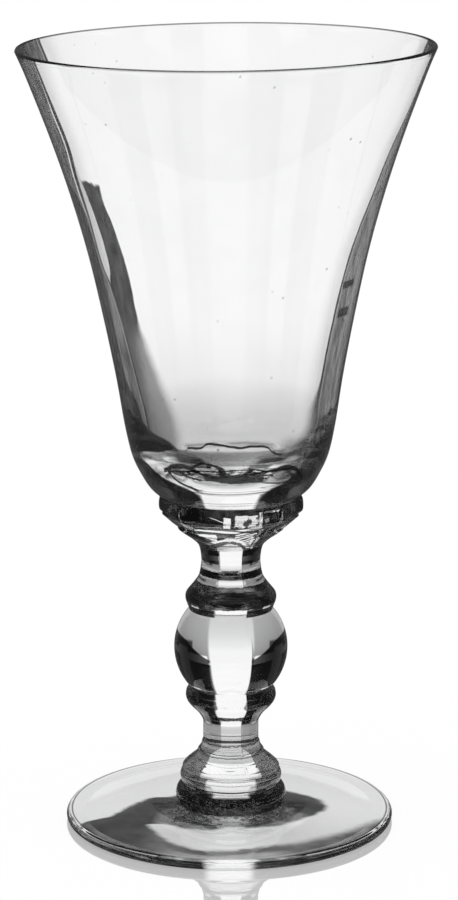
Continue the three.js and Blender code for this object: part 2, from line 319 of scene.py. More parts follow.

# Painted shadow and light on the table under the foot as (turn, share of UNDER_SCALE from the axis in
# millimetres): shadow within the first line and beyond the second
UNDER_SCALE = 50.0
DARK_WITHIN = [
    (0.0, 0.28), (0.125, 0.29), (0.165, 0.3), (0.19, 0.4), (0.236, 0.475), (0.279, 0.58), (0.301, 0.76),
    (0.32, 0.8), (0.332, 0.44), (0.356, 0.36), (0.405, 0.33), (0.451, 0.295), (0.5, 0.23), (0.55, 0.25),
    (0.585, 0.28), (0.625, 0.32), (0.681, 0.363), (0.728, 0.434), (0.759, 0.467), (0.79, 0.455),
    (0.844, 0.374), (0.875, 0.35), (1.0, 0.3),
]
DARK_BEYOND = [
    (0.0, 1.0), (0.285, 1.0), (0.301, 0.78), (0.315, 0.5), (0.332, 0.465), (0.353, 0.476), (0.391, 0.52),
    (0.417, 0.564), (0.443, 0.597), (0.471, 0.62), (0.49, 0.61), (0.528, 0.582), (0.549, 0.575),
    (0.597, 0.6), (0.625, 0.62), (0.662, 0.671), (0.697, 0.726), (0.725, 0.82), (0.76, 1.0), (1.0, 1.0),
]

# How light the painted shadow is, as (turn, level)
DARK_LEVEL = [
    (0.0, 0.04), (0.25, 0.04), (0.31, 0.035), (0.35, 0.05), (0.38, 0.08), (0.42, 0.13), (0.46, 0.1),
    (0.5, 0.08), (0.57, 0.14), (0.63, 0.11), (0.67, 0.06), (0.72, 0.035), (0.8, 0.04), (1.0, 0.04),
]

# The studio's cards, dark room and table in metres, with how light each part is from 0 to 1
CARD_HALF_ANGLE = math.radians(14.5)
CARD_TOP = math.radians(62)
CARD_SOFT = math.radians(1.2)
CORNER_CARD_HALF_ANGLE = math.radians(9)
ROOM = 0.035
ROOM_BESIDE_CARD = 0.12
TABLE_HALF_WIDTH = 0.097
TABLE_NEAR = 0.135
THIN_GLASS_DEPTH = 3.5
LOW_GLINT = 0.12
HIGH_GLINT = 0.15
GLINT_RISE = (math.radians(22), math.radians(45))
INNER_GLINT = 0.15
DARK_BEHIND = (math.radians(16), math.radians(32))
TABLE_MIRROR = 0.5
GLOSS_ON_TABLE = 0.1
FOOT_REACH = (0.0405, 0.047)
SOFTBOX_SIZE = 1.2
SOFTBOX_WATTS = 3
SOFTBOX_PLACE = (-0.3, -0.2, 1.6)
SOFTBOX_TILT = (math.radians(-8), math.radians(-10), 0)
FLOOR_HALF = 8.0
FLOOR_GAP = 0.0001
WHITE = (1, 1, 1, 1)
PALE = (0.97, 0.97, 0.97, 1)

TURNS = np.arange(AROUND) * 2 * math.pi / AROUND


def height_of(node):
    """A node's lowest and highest point in millimetres."""
    low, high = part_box(node)
    return low.z / MM, high.z / MM


def radius_of(node):
    low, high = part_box(node)
    return (high.x - low.x) / 2 / MM


def spline(points, step):
    """Points a step apart on a smooth curve through the given ones."""
    p = np.array(points, float)
    ends = np.vstack([2 * p[0] - p[1], p, 2 * p[-1] - p[-2]])
    out = [p[0]]
    for a, b, c, d in zip(ends, ends[1:], ends[2:], ends[3:]):
        count = max(2, int(np.linalg.norm(c - b) / step) + 1)
        for t in np.arange(1, count + 1) / count:
            bend = (2 * a - 5 * b + 4 * c - d) * t**2 + (3 * b - a - 3 * c + d) * t**3
            out.append((2 * b + (c - a) * t + bend) / 2)
    return np.array(out)


def through(shares, base, height, inner, outer, step=STEP_MM):
    places = [(inner + out * (outer - inner), base + up * height) for up, out in shares]
    return spline(places, step)


def bezier(points, count):
    t = np.linspace(0, 1, count)[:, None]
    p = np.array(points, float)
    while len(p) > 1:
        p = [a * (1 - t) + b * t for a, b in zip(p, p[1:])]
    return p[0]


def straight(a, b, step=STEP_MM):
    count = max(2, int(math.dist(a, b) / step) + 1)
    return np.linspace(a, b, count)


def rings(outline, reach=None, centre=(0.0, 0.0)):
    """A ring of points for each (radius, height). Reach gives the share of the radius that is kept."""
    rows = []
    for radius, height in outline:
        kept = np.ones(AROUND) if reach is None else reach(radius, height)
        x = centre[0] + radius * kept * np.sin(TURNS)
        y = centre[1] - radius * kept * np.cos(TURNS)
        rows.append(np.stack([x, y, np.full(AROUND, height)], 1))
    return np.array(rows)


def placed(name, data):
    ob = bpy.data.objects.new(name, data)
    bpy.context.scene.collection.objects.link(ob)
    return ob


def loft(node, rows, slot, first_pole=None, last_pole=None):
    """A smooth skin over the rings, open at a fused joint and closed at a pole on the axis."""
    name = node + "_skin"
    count = len(rows)
    verts = [tuple(v) for v in (rows.reshape(-1, 3) * MM)]
    ring = np.arange(AROUND)
    after = (ring + 1) % AROUND
    faces = []
    for r in range(count - 1):
        a, b = r * AROUND, (r + 1) * AROUND
        faces += [(int(a + i), int(a + j), int(b + j), int(b + i)) for i, j in zip(ring, after)]
    if first_pole is not None:
        verts.append(tuple(np.array(first_pole) * MM))
        faces += [(len(verts) - 1, int(j), int(i)) for i, j in zip(ring, after)]
    if last_pole is not None:
        verts.append(tuple(np.array(last_pole) * MM))
        top = (count - 1) * AROUND
        faces += [(len(verts) - 1, int(top + i), int(top + j)) for i, j in zip(ring, after)]
    mesh = bpy.data.meshes.new(name)
    mesh.from_pydata(verts, [], faces)
    mesh.validate()
    mesh.update()
    mesh.shade_smooth()
    mesh.materials.append(glasses[slot])
    piece = placed(name, mesh)
    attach(piece, "root")
    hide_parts(node)


def corner_reach(corners):
    """How far a straight-sided outline through the corners reaches at each turn."""
    at = np.array([c[0] for c in corners]) * 2 * math.pi
    out = np.array([c[1] for c in corners])
    places = np.stack([np.cos(at), np.sin(at)], 1) * out[:, None]
    nxt = np.searchsorted(at, TURNS, side="right") % len(at)
    a, b = places[nxt - 1], places[nxt]
    side = b - a
    ray = np.stack([np.cos(TURNS), np.sin(TURNS)], 1)

    def cross(u, v):
        return u[:, 0] * v[:, 1] - u[:, 1] * v[:, 0]

    return cross(a, side) / cross(ray, side)


def smoothed(values, width):
    """Values around a ring, rounded off over a few neighbours."""
    kernel = np.hanning(width + 2)[1:-1]
    kernel /= kernel.sum()
    half = width // 2
    padded = np.concatenate([values[-half:], values, values[:half]])
    return np.convolve(padded, kernel, "valid")[: len(values)]


# Materials


class Value:
    """A node's output, which can be calculated with as a number is."""

    def __init__(self, nodes, socket):
        self.nodes = nodes
        self.socket = socket

    def math(self, operation, *others):
        return self.nodes.get("ShaderNodeMath", 0, dict(enumerate((self, *others))), operation=operation)

    def __add__(self, other):
        return self.math("ADD", other)

    def __sub__(self, other):
        return self.math("SUBTRACT", other)

    def __mul__(self, other):
        return self.math("MULTIPLY", other)

    def __truediv__(self, other):
        return self.math("DIVIDE", other)

    def __gt__(self, other):
        return self.math("GREATER_THAN", other)

    def __lt__(self, other):
        return self.math("LESS_THAN", other)

    def __abs__(self):
        return self.math("ABSOLUTE")

    def span(self, low, high, to_low=0.0, to_high=1.0, smooth=True):
        """Goes from to_low to to_high as the value goes from low to high, and no further."""
        inputs = {"Value": self, "From Min": low, "From Max": high, "To Min": to_low, "To Max": to_high}
        kind = "SMOOTHSTEP" if smooth else "LINEAR"
        return self.nodes.get("ShaderNodeMapRange", "Result", inputs, interpolation_type=kind)

    def inside(self, low, high, soft):
        """1 between low and high, with soft borders."""
        return self.span(low - soft, low) * self.span(high, high + soft, 1.0, 0.0)

    def choose(self, a, b):
        """a where the value is 0, and b where it is 1."""
        return self.nodes.get("ShaderNodeMix", 0, {"Factor": self, "A": a, "B": b}, data_type="FLOAT")

    def curve(self, points):
        """A smooth curve through (value, result) points, all between 0 and 1."""
        node = self.nodes.add("ShaderNodeFloatCurve", {"Value": self})
        dots = node.mapping.curves[0].points
        dots[0].location, dots[1].location = points[0], points[-1]
        for point in points[1:-1]:
            dots.new(*point)
        node.mapping.update()
        return Value(self.nodes, node.outputs[0])

    def split(self):
        node = self.nodes.add("ShaderNodeSeparateXYZ", {0: self})
        return [Value(self.nodes, socket) for socket in node.outputs]

    def noise(self, scale, detail, stretch=EVEN):
        place = self.nodes.get("ShaderNodeMapping", 0, {"Vector": self, "Scale": stretch})
        inputs = {"Vector": place, "Scale": scale, "Detail": detail}
        return self.nodes.get("ShaderNodeTexNoise", "Fac", inputs)

    def rough(self, scale, depth, stretch=EVEN):
        """A ragged amount between minus and plus half the depth."""
        return (self.noise(scale, 4.0, stretch) - 0.5) * depth


class Nodes:
    """The nodes of a material or of the world."""

    def __init__(self, owner):
        owner.use_nodes = True
        self.tree = owner.node_tree
        self.tree.nodes.clear()

    def add(self, kind, inputs, **settings):
        node = self.tree.nodes.new(kind)
        for key, value in settings.items():
            setattr(node, key, value)
        for key, value in inputs.items():
            if isinstance(value, Value):
                self.tree.links.new(value.socket, node.inputs[key])
            else:
                node.inputs[key].default_value = value
        return node

    def get(self, kind, output=0, inputs=None, **settings):
        """One output of a new node."""
        return Value(self, self.add(kind, inputs or {}, **settings).outputs[output])

    def path(self, question):
        return self.get("ShaderNodeLightPath", question)


def most(first, *others):
    for other in others:
        first = first.math("MAXIMUM", other)
    return first


def normal(n):
    return n.get("ShaderNodeNewGeometry", "Normal").split()


def turned_aside(n):
    """How far the level part of the surface's normal turns away from the eye, from 0 to 1."""
    x, y, _ = normal(n)
    level = n.get("ShaderNodeCombineXYZ", 0, {"X": x, "Y": y})
    unit = n.get("ShaderNodeVectorMath", 0, {0: level}, operation="NORMALIZE")
    return n.get("ShaderNodeLayerWeight", "Facing", {"Normal": unit})


def turn_of(x, y):
    """The turn about the axis from the front, 0.5 at the front and growing to the right, from 0 to 1."""
    return x.math("ARCTAN2", y * -1.0) / (2 * math.pi) + 0.5


def glass(name, tint, wave_scale, wave_depth, roughness, shade):
    """Clear glass with slow waves from the fire polish and a little haze in patches.

    Shade is painted shade: it says how much light gets through where a ray enters, standing in for the dark
    room that shows at the sides, and how much the glass blurs there.
    """
    material = bpy.data.materials.new(name)
    n = Nodes(material)
    place = n.get("ShaderNodeTexCoord", "Object")
    waves = {"Strength": 1.0, "Distance": wave_depth, "Height": place.noise(wave_scale, 2.0)}
    bump = n.get("ShaderNodeBump", 0, waves)
    kept, blur = shade(place)
    # From steeply above it shows the pale table, not the dark room, so the painted shade at its sides is
    # turned off
    upright = n.get("ShaderNodeCombineXYZ", 0, {"Z": 1.0})
    steep = n.get("ShaderNodeLayerWeight", "Facing", {"Normal": upright}).span(0.12, 0.5, 1.0, 0.0)
    kept = steep.choose(kept, 1.0)
    # The shader takes the root of its colour at each surface
    kept = (n.path("Transmission Depth") < 0.5).choose(1.0, kept).math("POWER", 2.0)
    mix = {"Factor": 1.0, "A": (*tint, 1.0), "B": kept}
    colour = n.get("ShaderNodeMix", "Result", mix, data_type="RGBA", blend_type="MULTIPLY")
    uneven = place.noise(HAZE_SCALE, 4.0).span(0.45, 0.8, LEAST_ROUGHNESS, roughness)
    inputs = {"Base Color": colour, "Roughness": most(uneven, blur), "Normal": bump}
    shader = n.get("ShaderNodeBsdfPrincipled", 0, {**inputs, "Transmission Weight": 1.0, "IOR": GLASS_IOR})
    n.add("ShaderNodeOutputMaterial", {"Surface": shader})
    return material


def collar_share(height):
    return (height - COLLAR_LOW) / COLLAR_SPAN


def collar_painted_light(place, height, turn):
    """Painted shade darkening the collar almost to black, with painted light along the ridge between the
    tiers and in a few facets.
    """
    ragged = place.rough(500.0, 0.5)
    uneven = height + ragged * 1.6
    bent = turn + ragged * 0.02
    share = collar_share(height)
    ridge = (share - turn.curve(RIDGE)).inside(-0.045, 0.035, 0.012)
    bright = ridge * turn.inside(*RIDGE_IN_SIGHT, 0.01).choose(0.12, 1.0)

    def facet(low, high, first, last, soft):
        return uneven.inside(low, high, 0.15) * bent.inside(first, last, soft)

    for low, high, first, last, level in COLLAR_PAINTED_LIGHTS:
        bright = most(bright, facet(low, high, first, last, 0.002) * level)
    mottled_light = place.noise(800.0, 4.0, (1.0, 1.0, 0.7)).span(0.44, 0.52, 0.1, 1.0)
    waves = (uneven - turn * STRIPE_SLOPE) / STRIPE_SPACING * (2 * math.pi)
    striped_light = waves.math("SINE").span(-0.4, 0.5, 0.08, 1.0)
    bright = most(bright, facet(*MOTTLED_FACET, 0.003) * mottled_light, facet(*STRIPED_FACET, 0.003) * striped_light)
    # Painted light on a facet that comes to a point on its left
    top, deep, point, end = WEDGE_FACET
    over_floor = uneven - (bent.span(point, end, smooth=False) * -deep + top)
    wedge = over_floor.span(0.0, 0.15) * uneven.span(top, top + 0.15, 1.0, 0.0)
    bright = most(bright, wedge * bent.inside(point, end, 0.003))
    for first, high, last, low, half in SLANTED_EDGES:
        across = bent - ((height - high) * ((last - first) / (low - high)) + first)
        edge = (across * 100.0).inside(-half, half, 0.2) * height.inside(low, high, 0.2)
        bright = most(bright, edge * 0.8)
    # Over the wavy lip the lower tier ends in a band of painted light
    lip = (share - turn.curve(LIP)).inside(-0.02, 0.06, 0.015) * turn.inside(*LIP_IN_SIGHT, 0.01)
    low, high, first, last, level = GREY_FLANK
    flank = height.inside(low, high, 0.3) * turn.inside(first, last, 0.02) * level
    return most(bright, lip, flank, place.noise(300.0, 3.0).span(0.35, 0.75, 0.012, 0.07))


def collar_shade(place):
    x, y, z = place.split()
    return collar_painted_light(place, z * (1 / MM), turn_of(x - STEM_OFFSET * MM, y)), 0.0


def stem_shade(place):
    """Painted shade: dark at the sides, but grey in a few rings and clear in the ball's upper half."""
    aside = turned_aside(place.nodes)
    x, y, z = place.split()
    height = z * (1 / MM)
    band_low = stem_low + BELL_HEIGHT
    past_window = aside - height.span(band_low, band_low + BAND_HEIGHT, BELL_WINDOW, 0.0)
    side = past_window.curve(STEM_SIDE)
    beside = past_window.span(0.105, 0.125)
    uneven_shade = place.noise(260.0, 3.0, (1.0, 1.0, 0.45)).span(0.2, 0.8, 0.85, 1.15)
    for low, high, soft, level in STEM_GREYS:
        side = (height.inside(low, high, soft) * beside).choose(side, uneven_shade * level)
    ball_low = band_low + BAND_HEIGHT + WAIST_HEIGHT + LOWER_RING_HEIGHT
    in_ball = height.inside(ball_low, ball_low + BALL_HEIGHT, 0.01)
    upper = (normal(place.nodes)[2] - aside.curve(BALL_SIDE_LIMIT)).span(-0.012, 0.012)
    shade = (in_ball * upper).choose(side, 1.0)
    ragged = height + place.rough(900.0, 0.8, (1.0, 1.0, 0.6))
    for low, high, soft, level in DARK_RINGS:
        shade = shade * ragged.inside(low, high, soft).choose(1.0, level)
    # The upper ring's top is painted dark with swirled shade
    swirled_shade = place.noise(200.0, 2.0, (1.0, 1.0, 1.6)).span(0.45, 0.7, 0.025, 0.25)
    shade = height.inside(*RING_TOP, 0.2).choose(shade, swirled_shade * aside.span(0.1, 0.5, 1.0, 0.3))
    # Over the collar's wavy lip the flare gets the collar's painted light and shade, and under it a ragged
    # painted dark line
    turn = turn_of(x - STEM_OFFSET * MM, y)
    over_lip = collar_share(height) - turn.curve(LIP)
    flare = height.span(COLLAR_LOW - 1.5, COLLAR_LOW - 1.4).choose(1.0, collar_painted_light(place, height, turn))
    fringe = (over_lip + place.rough(1400.0, 0.14, (1.0, 1.0, 0.4))).inside(-0.085, -0.005, 0.015)
    shade = over_lip.span(-0.01, 0.01).choose(shade, flare) * fringe.choose(1.0, 0.05)
    # Painted shade darkens the outline where the surface turns away, but not round the ball's middle
    outline = height.inside(*BALL_MIDDLE, 1.0).choose(aside.span(0.72, 0.97, 1.0, 0.25), 1.0)
    return shade * outline, height.span(band_low - 0.4, band_low, 0.2, 0.0) * beside


def wafer_shade(place):
    """Painted shade: the lower wafer is darkened almost to black under a bar left bright. The roll above it
    is painted grey at its sides.
    """
    aside = turned_aside(place.nodes)
    height = place.split()[2] * (1 / MM)
    button = place.noise(1100.0, 3.0).span(0.4, 0.75, 0.008, 0.06)
    bar = aside.span(0.1, 0.14).choose(0.8, 0.05)
    roll = aside.span(0.16, 0.2).choose(1.0, place.noise(420.0, 4.0).span(0.3, 0.7, 0.18, 0.28))
    bar_low, bar_high = BAR
    shade = height.span(bar_low - 0.1, bar_low + 0.1).choose(button, bar)
    shade = height.span(bar_high - 0.1, bar_high + 0.1).choose(shade, roll)
    wavy = height + place.rough(400.0, 0.25)
    for low, high, level in ROLL_LINES:
        shade = shade * wavy.inside(low, high, 0.08).choose(1.0, level)
    return shade * aside.span(0.75, 0.97, 1.0, 0.4), height.span(bar_high, bar_high + 0.1, 0.1, 0.0)


def foot_shade(place):
    """Painted shade: the rounded edge is painted dark, with finer lines in it, but for a window that faces
    the eye.
    """
    aside = turned_aside(place.nodes)
    x, y, z = place.split()
    out = (x * x + y * y).math("SQRT")
    inside_edge, outside_edge = [(foot_radius - width) * MM for width in DARK_EDGE]
    edge = most(out.span(inside_edge, outside_edge), z.span(0.9 * MM, 1.3 * MM, 1.0, 0.0))
    lines = place.noise(1500.0, 1.0, (0.03, 0.03, 1.0)).span(0.42, 0.62, 0.03, 0.16)
    lines = lines * z.span(1.1 * MM, 1.5 * MM, 1.0, 3.0)
    line_from, line_to = [(foot_radius - width) * MM for width in FINE_LINE]
    shade = (out.inside(line_from, line_to, 0.1 * MM) * aside.span(0.02, 0.2)).choose(1.0, 0.3)
    # Painted speckled shade round the button, but for its middle
    near_from, near_to = [radius * MM for radius in SPECKLED_SHADE_RADIUS]
    near = out.span(near_from, near_to, 1.0, 0.0) * y.span(1.0 * MM, -3.0 * MM)
    near = near * abs(x).span(2.0 * MM, 5.5 * MM)
    shade = near.choose(shade, place.noise(700.0, 3.0).span(0.35, 0.75, 0.3, 0.8))
    return (edge * aside.span(0.068, 0.076)).choose(shade, lines), 0.0


def lined(border, grey, line_width, line_level, light_level):
    """Painted grey past the border, behind a painted dark line and a thin painted light one."""
    past_line = border - line_width
    light = past_line.inside(0.01, 0.022, 0.008) * light_level
    return past_line.span(0.0, 0.01).choose(line_level, most(grey, light))


def bowl_left(place, share, moved, shade_streaks):
    """Painted shade: a dark patch inside the grey band, clear of it by a bright sliver, which fades to grey
    lower down.
    """

    def past(points):
        return moved - share.curve(points)

    lower = share.span(0.36, 0.45, 1.0, 0.0)
    patch = lower.choose(0.1, moved.curve(LOWER_LEFT)) * lower.choose(shade_streaks, 1.0)
    edge = past(LEFT_PATCH).span(-0.006, lower.choose(0.006, 0.08))
    edge = edge * (share + place.rough(300.0, 0.03)).span(*PATCH_TOP, 1.0, 0.0)
    left = past(LEFT_SLIVER).span(-0.006, 0.006).choose(edge.choose(1.0, patch), 0.75)
    band = past(LEFT_BAND)
    left = left * band.span(-0.16, -0.02, 1.0, 0.82)
    upper = share.inside(*LIT_LINE, 0.08)
    line_width = upper.span(0.0, 1.0, 0.012, 0.032, smooth=False)
    light_level = upper.span(0.0, 1.0, 0.3, 0.75, smooth=False)
    grey = share.span(0.66, 0.74).choose(0.2, 0.165) * shade_streaks
    left = band.span(-0.006, 0.004).choose(left, lined(band, grey, line_width, 0.075, light_level))
    soft = share.span(0.66, 0.76, 0.012, 0.04)
    return past(LEFT_EDGE).span(soft * -1.0, soft).choose(left, shade_streaks * 0.075)


def bowl_right(share, moved, shade_streaks):
    """Painted shade: a plain grey band, whose dark line fades near the base."""
    border = moved - share.curve(RIGHT_BAND)
    band = lined(border, shade_streaks * 0.24, 0.012, share.span(0.16, 0.3, 0.24, 0.075), 0.35)
    for low, high in RIGHT_SHADE_BLOTCHES:
        band = (share.inside(low, high, 0.004) * moved.inside(*SHADE_BLOTCH_ASIDE, 0.01)).choose(band, 0.06)
    softness = share.span(0.2, 0.3, 0.12, 0.006)
    right = border.span(softness * -1.0, 0.004).choose(border.span(-0.15, -0.02, 1.0, 0.8), band)
    return moved.span(0.76, 0.8).choose(right, 0.07)


def bowl_base(place, aside, over_base, left, right):
    """Painted shade at both sides of the thick base: a dark wedge over a bright streak on the left, grey on
    the right.
    """
    shade_blotch = place.noise(120.0, 3.0).span(0.35, 0.7, 0.04, 0.09)
    share = over_base.math("MINIMUM", 1.0)

    def under(points):
        return (over_base - aside.curve(points)).span(-0.012, 0.012, 1.0, 0.0)

    streak = (aside.span(0.2, 0.24, 1.0, 0.0) * over_base.span(0.34, 0.38)).choose(1.0, 0.6)
    streak = aside.span(0.45, 0.6).choose(streak, 0.15)
    left = under(WEDGE_TOP).choose(left, shade_blotch)
    left = under(STREAK_TOP).choose(left, streak)
    past_window = (aside - share.curve(BASE_WINDOW)).span(-0.005, 0.015)
    left = (under(STREAK_LOW) * past_window).choose(left, shade_blotch)
    grey = right.math("MINIMUM", aside.span(0.1, 0.2, 1.0, 0.4))
    right = over_base.span(0.58, 0.8, 1.0, 0.0).choose(right, grey)
    heel = (aside - share.curve(HEEL_RIGHT)).span(-0.01, 0.02) * over_base.span(0.68, 0.8, 1.0, 0.0)
    return left, heel.choose(right, shade_blotch)


def bowl_lens(place, aside, over_base):
    """Painted dark loops and lines in the front of the thick base, standing in for what it bends from the
    dark room behind it.
    """
    x, _, z = place.split()
    along = x / (LENS_SPAN * MM) + 0.5
    rise = (z - LENS_LOW * MM) / (LENS_RISE * MM) + place.rough(350.0, 0.05, (1.0, 1.0, 0.6))
    lines = (LOOP_TOP, LOOP_LOW, LOOP_MIDDLE, EYE_TOP, CONTOUR)
    top, low, middle, eye, contour = [rise - along.curve(points) for points in lines]
    in_smile = along.inside(*SMILE, 0.04)
    lobes = middle.span(-0.01, 0.01).choose(1.0, in_smile.choose(0.62, 0.1))
    lobes = (middle.inside(-0.008, 0.008, 0.01) * in_smile.choose(1.0, 0.0)).choose(lobes, 0.15)
    seen = (top.span(-0.01, 0.01, 1.0, 0.0) * low.span(-0.01, 0.01)).choose(1.0, lobes)
    in_eye = top.span(-0.01, 0.01) * eye.span(-0.01, 0.01, 1.0, 0.0) * along.inside(*EYE, 0.02)
    seen = in_eye.choose(seen, place.noise(480.0, 3.0, (0.7, 1.0, 1.2)).span(0.42, 0.58, 0.06, 1.0))
    over = over_base.inside(0.5, 0.62, 0.03) * top.span(0.0, 0.02) * aside.span(0.15, 0.2, 1.0, 0.0)
    seen = seen * (over * eye.span(0.0, 0.02)).choose(1.0, 0.42)
    in_loops = along.inside(*LOOPS, 0.01)
    half_line = abs(along - 0.52).span(0.2, 0.32, 0.016, 0.034)
    upper = (abs(top) - half_line).span(0.0, 0.01, 1.0, 0.0) * in_loops
    lid = eye.inside(-0.016, 0.016, 0.01) * along.inside(*EYELID, 0.02)
    ends = most(along.span(0.3, 0.36, 1.0, 0.0), along.span(0.86, 0.88))
    lower = low.inside(-0.02, 0.012, 0.01) * ends * in_loops
    wavy = contour.inside(-0.014, 0.014, 0.008) * along.inside(*CONTOUR_ENDS, 0.01)
    return most(upper, lid, lower, wavy).choose(seen, 0.07)


def bowl_seeds(place):
    """Small seeds and specks of dust, and a faint grain."""
    cells = {"Vector": place, "Scale": 400.0}
    distance = place.nodes.get("ShaderNodeTexVoronoi", "Distance", cells)
    chance, level, _ = place.nodes.get("ShaderNodeTexVoronoi", "Color", cells).split()
    seed = distance.span(0.1, 0.18, 1.0, 0.0) * chance.span(0.88, 0.89)
    grain = place.noise(90.0, 5.0).span(0.25, 0.75, 0.985, 1.015)
    return grain * seed.choose(1.0, level.span(0.0, 1.0, 0.6, 0.97))


def bowl_shade(place):
    """Painted shade, clear until the wall turns away. Then comes a grey band between dark lines, unlike on
    each side.
    """
    aside = turned_aside(place.nodes)
    x, y, z = place.split()
    share = z.span(bowl_low * MM, bowl_top * MM, smooth=False)
    over_base = (z - bowl_low * MM) / (BASE_SPAN * MM) + place.rough(120.0, 0.03)
    ripple = place.rough(600.0, 1.0, (1.0, 1.0, 0.3)) * share.span(0.55, 0.75, 0.012, 0.001)
    moved = aside + place.rough(70.0, 0.02, (1.0, 1.0, 0.5)) + ripple
    shade_streaks = place.noise(650.0, 3.0, (1.0, 1.0, 0.04)).span(0.3, 0.7, 0.6, 1.3)
    left = bowl_left(place, share, moved, shade_streaks)
    right = bowl_right(share, moved, shade_streaks)
    left, right = bowl_base(place, aside, over_base, left, right)
    side = x.span(-6.0 * MM, 6.0 * MM).choose(left, right)
    front = y.span(-8.0 * MM, -10.0 * MM)
    side = side * front.choose(1.0, bowl_lens(place, aside, over_base))
    side = normal(place.nodes)[2].span(0.6, 0.8, 1.0, 0.0).choose(1.0, side)
    # The lip's top gets a painted dark line
    lip = z + x * -math.tan(BOWL_LEAN)
    rim_shade = lip.span((bowl_top - RIM_LINE) * MM, (bowl_top - RIM_LINE + 0.2) * MM, 1.0, 0.3)
    blur = over_base.span(0.8, 0.9, 1.0, 0.0) * aside.span(0.1, 0.16) * BASE_BLUR
    blur = most(blur, over_base.inside(0.62, 0.85, 0.04) * front * BASE_BLUR)
    # Painted shade also darkens the outline where the wall turns fully away
    return side * aside.span(0.93, 0.99, 1.0, 0.4) * bowl_seeds(place) * rim_shade, blur


axis = (STEM_OFFSET, 0.0)
foot_top = height_of("foot")[1]
wafer_low, wafer_top = height_of("lower_wafer")
roll_low, roll_top = height_of("upper_wafer")
stem_low, stem_top = height_of("stem")
lower_collar_low, lower_collar_top = height_of("lower_collar")
upper_collar_low, upper_collar_top = height_of("upper_collar")
bowl_low, bowl_top = height_of("bowl")
foot_radius = radius_of("foot")
wafer_radius = radius_of("lower_wafer")
roll_radius = radius_of("upper_wafer")
ball_radius = radius_of("stem")

# Each glass with its tint, its waves' scale and depth in metres, its haze's roughness and its painted shade
FINISHES = {
    "bowl_glass": ((0.985, 0.987, 0.986), 35.0, 0.00002, 0.02, bowl_shade),
    "stem_glass": ((0.975, 0.98, 0.978), 70.0, 0.00002, 0.02, stem_shade),
    "collar_glass": ((0.975, 0.98, 0.978), 160.0, 0.00006, 0.02, collar_shade),
    "wafer_glass": ((0.975, 0.98, 0.978), 90.0, 0.00003, 0.02, wafer_shade),
    "foot_glass": ((0.975, 0.98, 0.978), 45.0, 0.00004, 0.03, foot_shade),
}
glasses = {slot: glass(slot, *finish) for slot, finish in FINISHES.items()}

# Joints where two pieces of glass are fused: both skins end on the same ring
foot_joint = (LOWER_WAFER_SHARES[0][1] * wafer_radius, foot_top)
wafer_edge = min(LOWER_WAFER_SHARES[-1][1] * wafer_radius, UPPER_WAFER_SHARES[0][1] * roll_radius)
roll_edge = min(UPPER_WAFER_SHARES[-1][1] * roll_radius, BELL_TOP_RADIUS)
wafer_joint = (wafer_edge - WAFER_JOINT_IN, wafer_top)
roll_joint = (roll_edge - ROLL_JOINT_IN, roll_top)
flare_joint = (FLARE_RADIUS - FLARE_JOINT_IN, stem_top)
tier_joint = (LOWER_COLLAR_SHARES[-1][1] * LOWER_COLLAR_RADIUS - TIER_JOINT_IN, lower_collar_top)
seat_joint = (BOWL_SEAT_RADIUS - SEAT_JOINT_IN, upper_collar_top)


def foot():
    edge_middle = foot_radius - FOOT_EDGE_RADIUS
    ring_inner = edge_middle - REST_RING_WIDTH
    hollow = bezier([(0, FOOT_HOLLOW), (FOOT_HOLLOW_SHARE * ring_inner, FOOT_HOLLOW), (ring_inner, 0)], 60)
    turn = np.linspace(-math.pi / 2, math.pi / 2, 32)
    edge = FOOT_EDGE_RADIUS * np.stack([np.cos(turn), 1 + np.sin(turn)], 1) + (edge_middle, 0)
    rest = straight((ring_inner, 0), (edge_middle, 0))
    low_top = (edge_middle, 2 * FOOT_EDGE_RADIUS)
    land = (foot_joint[0] + LAND_MARGIN, foot_top)
    out_share, up_share = FOOT_TOP_SHARES
    bend_out = low_top[0] + out_share * (FOOT_LAND_RADIUS - low_top[0])
    bend_up = low_top[1] + up_share * (foot_top - low_top[1])
    top = bezier([low_top, (bend_out, bend_up), land], 90)
    outline = np.vstack([hollow[1:], rest[1:], edge[1:], top[1:], [foot_joint]])
    rows = rings(outline)
    on_top = outline[:, 1] > 2 * FOOT_EDGE_RADIUS
    inwards = np.clip((edge_middle - outline[:, 0]) / (edge_middle - land[0]), 0, 1)
    rows[:, :, 0] += (STEM_OFFSET * on_top * inwards)[:, None]
    loft("foot", rows, "foot_glass", first_pole=(0, 0, FOOT_HOLLOW))


def lower_wafer():
    outline = through(LOWER_WAFER_SHARES, wafer_low, wafer_top - wafer_low, 0, wafer_radius)
    outline = np.vstack([[foot_joint], outline[1:], [wafer_joint]])
    loft("lower_wafer", rings(outline, centre=axis), "wafer_glass")


def upper_wafer():
    outline = through(UPPER_WAFER_SHARES, roll_low, roll_top - roll_low, 0, roll_radius)
    outline = np.vstack([[wafer_joint], outline[1:], [roll_joint]])
    loft("upper_wafer", rings(outline, centre=axis), "wafer_glass")


